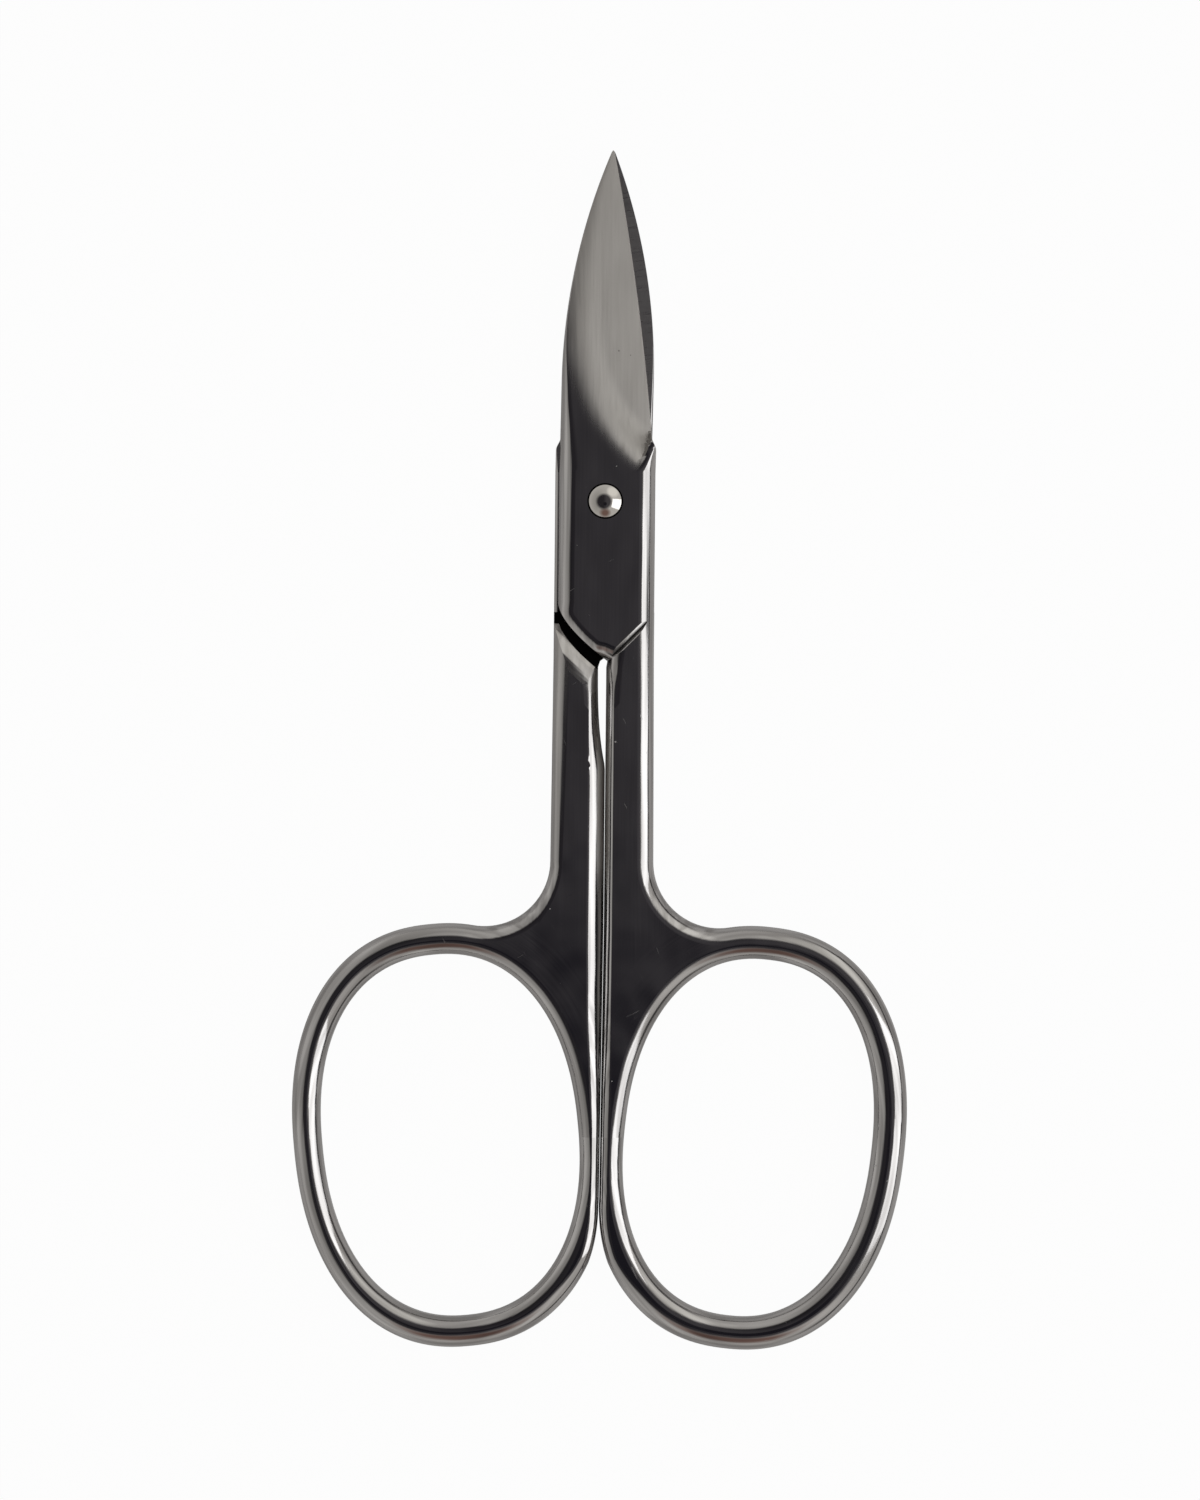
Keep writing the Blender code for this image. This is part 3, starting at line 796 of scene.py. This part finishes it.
def ring_places(tree):
    """Places counted out from the ring's middle and round it, and 1 on the ring itself."""
    place = tree.nodes.new("ShaderNodeTexCoord").outputs["Object"]
    parts = tree.nodes.new("ShaderNodeSeparateXYZ")
    put(tree, parts.inputs["Vector"], place)
    middle = frame["joints"][0]["pos_m"][1] + RING_CENTRE_Y * MILLIMETRE
    across = worked(tree, "ABSOLUTE", parts.outputs["X"])
    across = worked(tree, "SUBTRACT", across, RING_CENTRE_X * MILLIMETRE)
    along = worked(tree, "SUBTRACT", parts.outputs["Y"], middle)
    along = worked(tree, "MULTIPLY", along, RING_WIDTH / RING_LENGTH)
    squares = worked(tree, "MULTIPLY_ADD", across, across, worked(tree, "MULTIPLY", along, along))
    out = worked(tree, "SQRT", squares)
    turn = worked(tree, "ARCTAN2", along, across)
    places = tree.nodes.new("ShaderNodeCombineXYZ")
    put(tree, places.inputs["X"], out)
    put(tree, places.inputs["Y"], worked(tree, "MULTIPLY", turn, RING_TURN_SCALE))
    put(tree, places.inputs["Z"], parts.outputs["Z"])
    edge = RING_WIDTH / 2 * MILLIMETRE
    return places.outputs["Vector"], level(tree, out, edge * RING_ZONE[0], edge * RING_ZONE[1])


LINE_STRETCH = (1.0, 30.0, 1.0)


def polishing_lines(tree, scale, low, high):
    """Lines as the wheel drew them, lengthwise on blade and shank and round on the ring."""
    places, on_ring = ring_places(tree)
    lengthwise = marks(tree, scale, low, high, stretch=LINE_STRETCH)
    noise = tree.nodes.new("ShaderNodeTexNoise")
    put(tree, noise.inputs["Vector"], places)
    put(tree, noise.inputs["Scale"], scale)
    put(tree, noise.inputs["Detail"], 1.0)
    return level(tree, on_ring, 0.0, 1.0, lengthwise, level(tree, noise.outputs["Fac"], low, high))


DUST_CELLS = 1060.0
DUST_DRAW = 0.72
DUST_SIZE = 0.075


def dust(tree):
    """Fine scattered specks of dust, each 1 where it lies and 0 around it."""
    cells = tree.nodes.new("ShaderNodeTexVoronoi")
    put(tree, cells.inputs["Vector"], on_piece(tree, (1.0, 1.0, 1.0), 0))
    put(tree, cells.inputs["Scale"], DUST_CELLS)
    draw = tree.nodes.new("ShaderNodeSeparateColor")
    put(tree, draw.inputs["Color"], cells.outputs["Color"])
    size = level(tree, draw.outputs["Red"], DUST_DRAW, 1.0, 0.0, DUST_SIZE)
    return worked(tree, "LESS_THAN", cells.outputs["Distance"], size)


def painted(tree, name):
    """An attribute of the piece's mesh."""
    node = tree.nodes.new("ShaderNodeAttribute")
    node.attribute_name = name
    return node.outputs["Fac"]


def bumped(tree, height, depth, under=None):
    """The normal of a surface with a pattern of a depth in metres, over another if given."""
    bump = tree.nodes.new("ShaderNodeBump")
    put(tree, bump.inputs["Distance"], depth)
    put(tree, bump.inputs["Height"], height)
    if under:
        put(tree, bump.inputs["Normal"], under)
    return bump.outputs["Normal"]


FRONT_FLAT = (0.00255, 0.00259)
BACK_FLAT = (0.00005, 0.00001)
BRUSHED_RISE = (0.0012, 0.0022)
BRUSHED_FLAT_SHARE = 0.35
POLISH_ROUGHNESS = 0.07
HAZE_ROUGHNESS = 0.07
SCRATCH_ROUGHNESS = 0.2
SATIN_ROUGHNESS = 0.5
BRUSH_ROUGHNESS = 0.1
PAINTED_SHADE_ROUGHNESS = 0.4
DUST_ROUGHNESS = 0.5
WAVE_DEPTH = 0.00006
BRUSH_DEPTH = 0.0000025
SCRATCH_SHARE = -0.4


def polished_steel():
    """Bright polish with hairline scratches that turns satin, brushed lengthwise, on the blade.

    The flat faces are polished evenly, and the rounded ones keep duller lanes of the wheel.
    """
    material, tree, shader = new_steel("polished_steel", POLISHED_COLOUR)
    satin = painted(tree, "satin")
    painted_shade = painted(tree, "painted_shade")
    haze = marks(tree, scale=160.0, low=0.35, high=0.7, detail=3.0)
    brush = polishing_lines(tree, scale=5200.0, low=0.3, high=0.7)
    lanes = polishing_lines(tree, scale=2400.0, low=0.35, high=0.65)
    parts = tree.nodes.new("ShaderNodeSeparateXYZ")
    put(tree, parts.inputs["Vector"], tree.nodes.new("ShaderNodeTexCoord").outputs["Object"])
    back = level(tree, parts.outputs["Z"], *BACK_FLAT)
    flat = worked(tree, "MAXIMUM", level(tree, parts.outputs["Z"], *FRONT_FLAT), back)
    tone = worked(tree, "MAXIMUM", lanes, flat)
    hairline = marks(tree, scale=6000.0, low=0.77, high=0.81, stretch=(1.0, 12.0, 1.0), turn=24)
    crossing = marks(tree, scale=5200.0, low=0.77, high=0.81, stretch=(1.0, 12.0, 1.0), turn=-60)
    scratches = worked(tree, "MAXIMUM", hairline, crossing)
    polish = worked(tree, "MULTIPLY_ADD", haze, HAZE_ROUGHNESS, POLISH_ROUGHNESS)
    polish = worked(tree, "MULTIPLY_ADD", scratches, SCRATCH_ROUGHNESS, polish)
    ground = worked(tree, "MULTIPLY_ADD", brush, BRUSH_ROUGHNESS, SATIN_ROUGHNESS)
    roughness = level(tree, satin, 0.0, 1.0, polish, ground)
    roughness = worked(tree, "MULTIPLY_ADD", painted_shade, PAINTED_SHADE_ROUGHNESS, roughness)
    roughness = worked(tree, "MULTIPLY_ADD", dust(tree), DUST_ROUGHNESS, roughness)
    put(tree, shader.inputs["Roughness"], roughness)
    colour = between(tree, tone, DULL_COLOUR, POLISHED_COLOUR)
    colour = between(tree, satin, colour, SATIN_COLOUR)
    # Painted shade: darkens the colour where the mask from mark_corners is set.
    colour = between(tree, painted_shade, colour, PAINTED_SHADE_COLOUR)
    put(tree, shader.inputs["Base Color"], colour)
    waves = marks(tree, scale=330.0, low=0.0, high=1.0, stretch=(1.0, 1.6, 1.0))
    surface = bumped(tree, waves, WAVE_DEPTH)
    height = worked(tree, "MULTIPLY", brush, level(tree, parts.outputs["Z"], *BRUSHED_RISE))
    height = worked(tree, "MULTIPLY", height, level(tree, flat, 0.0, 1.0, 1.0, BRUSHED_FLAT_SHARE))
    height = worked(tree, "MULTIPLY_ADD", scratches, SCRATCH_SHARE, height)
    put(tree, shader.inputs["Normal"], bumped(tree, height, BRUSH_DEPTH, surface))
    return material


GROUND_ROUGHNESS = 0.27
GROUND_LINE_ROUGHNESS = 0.06
GROUND_LINE_DEPTH = 0.0000002


def ground_steel():
    """The flat inner faces: ground across and left duller than the polished outside, with painted
    shade in the lap's gap by the shoulder.
    """
    material, tree, shader = new_steel("ground_steel", GROUND_COLOUR)
    lines = marks(tree, scale=12000.0, low=0.3, high=0.7, stretch=(16.0, 1.0, 1.0), turn=8,
                  detail=2.0)
    roughness = worked(tree, "MULTIPLY_ADD", lines, GROUND_LINE_ROUGHNESS, GROUND_ROUGHNESS)
    put(tree, shader.inputs["Roughness"], roughness)
    # Painted shade on the lapped face in the gap by the shoulder.
    colour = between(tree, painted(tree, "painted_shade"), GROUND_COLOUR, PAINTED_SHADE_COLOUR)
    put(tree, shader.inputs["Base Color"], colour)
    put(tree, shader.inputs["Normal"], bumped(tree, lines, GROUND_LINE_DEPTH))
    return material


half_finishes = (polished_steel(), ground_steel())
front_half = forged_half("front_forging", side=1, outer_rounding=1.25, inner_width=0.66,
                         notch_depth=0.0, hole_size=(18.6, 26.9), rivet_seat=head_seat())
for finish in half_finishes:
    front_half.data.materials.append(finish)
set_in_place(front_half, False)
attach(front_half, "front_body")
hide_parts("front_half")

# Rear half: the same forging turned over, so that its ring is on the left and its blade lies
# under the front one. It has the rivet's countersunk tail instead of the seat for its head.
TAIL_SPREAD = 1.3
TAIL_DEPTH = 0.4


def tail_seat():
    """Tool for the rivet's hole and the countersink that its tail is spread into."""
    top = HALF_THICKNESS + OVERRUN
    floor = HALF_THICKNESS - TAIL_DEPTH
    rim = RIVET_HOLE + (TAIL_SPREAD - RIVET_HOLE) * (TAIL_DEPTH + OVERRUN) / TAIL_DEPTH
    profile = [(0.0, top), (rim, top), (RIVET_HOLE, floor), (RIVET_HOLE, -top), (0.0, -top)]
    return turned("tail_seat", profile, TURNED_STEPS)


rear_half = forged_half("rear_forging", side=-1, outer_rounding=0.95, inner_width=1.3,
                        notch_depth=0.58, hole_size=(19.25, 27.2), rivet_seat=tail_seat())
for finish in half_finishes:
    rear_half.data.materials.append(finish)
set_in_place(rear_half, True)
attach(rear_half, "rear_body")
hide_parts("rear_half")

# Rivet: one turned steel pin with a polished domed head, set through both halves. Its tail is
# spread into the rear half's countersink, and it stays still in that half.
SHAFT_RADIUS = 0.9
HEAD_RADIUS = 1.21
HEAD_TOP = 0.42
HEAD_RIM = 0.2
HEAD_CLEARANCE = 0.03
TAIL_CLEARANCE = 0.03
DOME_STEPS = 20
RIVET_COLOUR = (0.62, 0.60, 0.57, 1.0)
RIVET_ROUGHNESS = 0.06
RIVET_HAZE_ROUGHNESS = 0.05


def rivet_profile():
    """Domed head, shaft and spread tail, from the top of the dome down."""
    seat_floor = HALF_THICKNESS - HEAD_SEAT_DEPTH + HEAD_CLEARANCE
    rim_top = seat_floor + HEAD_RIM
    rise = HALF_THICKNESS + HEAD_TOP - rim_top
    radius = (HEAD_RADIUS**2 + rise**2) / (2 * rise)
    profile = []
    for step in range(DOME_STEPS + 1):
        angle = math.asin(HEAD_RADIUS / radius) * step / DOME_STEPS
        profile.append((radius * math.sin(angle), rim_top + rise - radius * (1 - math.cos(angle))))
    tail = TAIL_CLEARANCE - HALF_THICKNESS
    profile += [(HEAD_RADIUS, seat_floor), (SHAFT_RADIUS, seat_floor)]
    profile += [(SHAFT_RADIUS, TAIL_DEPTH - HALF_THICKNESS)]
    profile += [(TAIL_SPREAD - TAIL_CLEARANCE, tail), (0.0, tail)]
    return profile


def rivet_steel():
    """A brighter polish than the halves', clouded by handling."""
    material, tree, shader = new_steel("rivet_steel", RIVET_COLOUR)
    haze = marks(tree, scale=1500.0, low=0.35, high=0.7, detail=3.0)
    roughness = worked(tree, "MULTIPLY_ADD", haze, RIVET_HAZE_ROUGHNESS, RIVET_ROUGHNESS)
    put(tree, shader.inputs["Roughness"], roughness)
    return material


rivet = turned("domed_rivet", rivet_profile(), TURNED_STEPS)
rivet.data.materials.append(rivet_steel())
rivet.data.shade_smooth()
set_in_place(rivet, False)
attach(rivet, "rear_body")
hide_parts("pivot_rivet")

# Setting: a wide pale table under a plain studio sky. The sky is dim straight above the table,
# as round a camera, and light towards the horizon, with one large soft lamp to the right.
TABLE_SIZE = 4.0
TABLE_DROP = 0.00002
TABLE_COLOUR = (0.66, 0.65, 0.64, 1.0)
SEEN_GLOW = 0.97
MIRRORED_GLOW = 0.15


def table_material():
    """A pale matt table that looks white to the camera, and a little lighter in the steel."""
    material = bpy.data.materials.new("pale_table")
    material.use_nodes = True
    tree = material.node_tree
    diffuse = tree.nodes.new("ShaderNodeBsdfDiffuse")
    put(tree, diffuse.inputs["Color"], TABLE_COLOUR)
    glow = tree.nodes.new("ShaderNodeEmission")
    path = tree.nodes.new("ShaderNodeLightPath")
    seen = worked(tree, "MULTIPLY", path.outputs["Is Camera Ray"], SEEN_GLOW)
    mirrored = worked(tree, "MULTIPLY", path.outputs["Is Glossy Ray"], MIRRORED_GLOW)
    surface = tree.nodes.new("ShaderNodeMixShader")
    put(tree, surface.inputs["Fac"], worked(tree, "MAXIMUM", seen, mirrored))
    tree.links.new(diffuse.outputs["BSDF"], surface.inputs[1])
    tree.links.new(glow.outputs["Emission"], surface.inputs[2])
    tree.links.new(surface.outputs["Shader"], tree.nodes["Material Output"].inputs["Surface"])
    tree.nodes.remove(tree.nodes["Principled BSDF"])
    return material


shape = bmesh.new()
bmesh.ops.create_grid(shape, x_segments=1, y_segments=1, size=TABLE_SIZE / 2)
bmesh.ops.translate(shape, verts=shape.verts, vec=(0.0, 0.0, -TABLE_DROP))
table = new_piece("table", shape)
table.data.materials.append(table_material())

WHITE = (1.0, 1.0, 1.0, 1.0)
CAMERA_BLACK = (0.014, 0.013, 0.018, 1.0)
DARK_SKY = (0.027, 0.025, 0.029, 1.0)
DIM_SKY = (0.070, 0.066, 0.072, 1.0)
LIGHT_SKY = (0.62, 0.60, 0.575, 1.0)
LEFT_SKY = (0.58, 0.565, 0.545, 1.0)
HIGH_LEFT_SKY = (0.38, 0.37, 0.355, 1.0)
ROOM_EDGE = (0.09, 0.085, 0.085, 1.0)
BRIGHT_WALL = (0.95, 0.93, 0.88, 1.0)
WARM_WALL = (0.20, 0.125, 0.105, 1.0)


def sky_patch(tree, view, lean_right, lean_back, inner, outer):
    """1 inside a round patch of the sky and 0 outside it, with its middle leaned off the top.

    All four are angles in degrees: two that lean the middle, and where the patch's edge fades.
    """
    side = math.sin(math.radians(lean_right))
    back = math.sin(math.radians(lean_back))
    aim = tree.nodes.new("ShaderNodeVectorMath")
    aim.operation = "DOT_PRODUCT"
    put(tree, aim.inputs[0], view)
    put(tree, aim.inputs[1], (side, back, math.sqrt(1 - side**2 - back**2)))
    outer = math.cos(math.radians(outer))
    inner = math.cos(math.radians(inner))
    return level(tree, aim.outputs["Value"], outer, inner)


world = bpy.data.worlds.new("studio")
bpy.context.scene.world = world
world.use_nodes = True
tree = world.node_tree
view = tree.nodes.new("ShaderNodeTexCoord").outputs["Generated"]
parts = tree.nodes.new("ShaderNodeSeparateXYZ")
put(tree, parts.inputs["Vector"], view)
high = level(tree, parts.outputs["Z"], low=0.3, high=0.75)
left_sky = between(tree, high, LEFT_SKY, HIGH_LEFT_SKY)
sky = between(tree, level(tree, parts.outputs["X"], low=-0.6, high=0.3), left_sky, LIGHT_SKY)
near_table = level(tree, parts.outputs["Z"], low=0.28, high=0.16)
on_right = level(tree, parts.outputs["X"], low=0.2, high=0.6)
sky = between(tree, worked(tree, "MULTIPLY", near_table, on_right), sky, ROOM_EDGE)
warm = sky_patch(tree, view, lean_right=0, lean_back=-48, inner=9, outer=25)
sky = between(tree, warm, sky, WARM_WALL)
bright = sky_patch(tree, view, lean_right=29, lean_back=40, inner=14, outer=26)
sky = between(tree, bright, sky, BRIGHT_WALL)
dim = between(tree, level(tree, parts.outputs["X"], low=-0.12, high=0.12), DARK_SKY, DIM_SKY)
above = sky_patch(tree, view, lean_right=-5, lean_back=0, inner=26, outer=37)
sky = between(tree, above, sky, dim)
black = sky_patch(tree, view, lean_right=0, lean_back=-10, inner=5.8, outer=8.2)
sky = between(tree, black, sky, CAMERA_BLACK)
path = tree.nodes.new("ShaderNodeLightPath")
shown = between(tree, path.outputs["Is Camera Ray"], sky, WHITE)
put(tree, tree.nodes["Background"].inputs["Color"], shown)

LAMP_DISTANCE = 0.6
LAMP_SIZE = (0.40, 0.57)
LAMP_RISE = math.radians(34.5)
LAMP_TURN = math.radians(-8)
LAMP_RADIANCE = 1.35
LAMP_COLOUR = (0.97, 0.985, 1.0)

lamp = bpy.data.lights.new("soft_lamp", "AREA")
lamp.shape = "RECTANGLE"
lamp.size = LAMP_SIZE[0]
lamp.size_y = LAMP_SIZE[1]
lamp.color = LAMP_COLOUR
lamp.energy = LAMP_RADIANCE * math.pi * LAMP_SIZE[0] * LAMP_SIZE[1]
holder = bpy.data.objects.new("soft_lamp", lamp)
bpy.context.scene.collection.objects.link(holder)
towards = Vector((math.cos(LAMP_RISE) * math.cos(LAMP_TURN),
                  math.cos(LAMP_RISE) * math.sin(LAMP_TURN), math.sin(LAMP_RISE)))
holder.location = towards * LAMP_DISTANCE
holder.rotation_euler = towards.to_track_quat("Z", "Y").to_euler()

# Camera: straight above the closed scissors, turned by the half degree that they lie askew. It
# looks through a long lens from so far off that the picture is as tall as VIEW_LENGTH in metres.
VIEW_LENGTH = 0.11269
VIEW_TURN = math.radians(0.54)
VIEW_SHIFT = Vector((-0.000215, -0.018634))
LENS = 100.0
SENSOR = 36.0
NEAREST = 0.01

camera = bpy.data.cameras.new("camera")
camera.lens = LENS
camera.sensor_width = SENSOR
camera.clip_start = NEAREST
eye = bpy.data.objects.new("camera", camera)
bpy.context.scene.collection.objects.link(eye)
rivet_axis = Vector(frame["joints"][0]["pos_m"])
eye.location = (rivet_axis.x + VIEW_SHIFT.x, rivet_axis.y + VIEW_SHIFT.y,
                rivet_axis.z + VIEW_LENGTH * LENS / SENSOR)
eye.rotation_euler = (0.0, 0.0, VIEW_TURN)
bpy.context.scene.camera = eye
bpy.context.scene.view_settings.view_transform = "Standard"
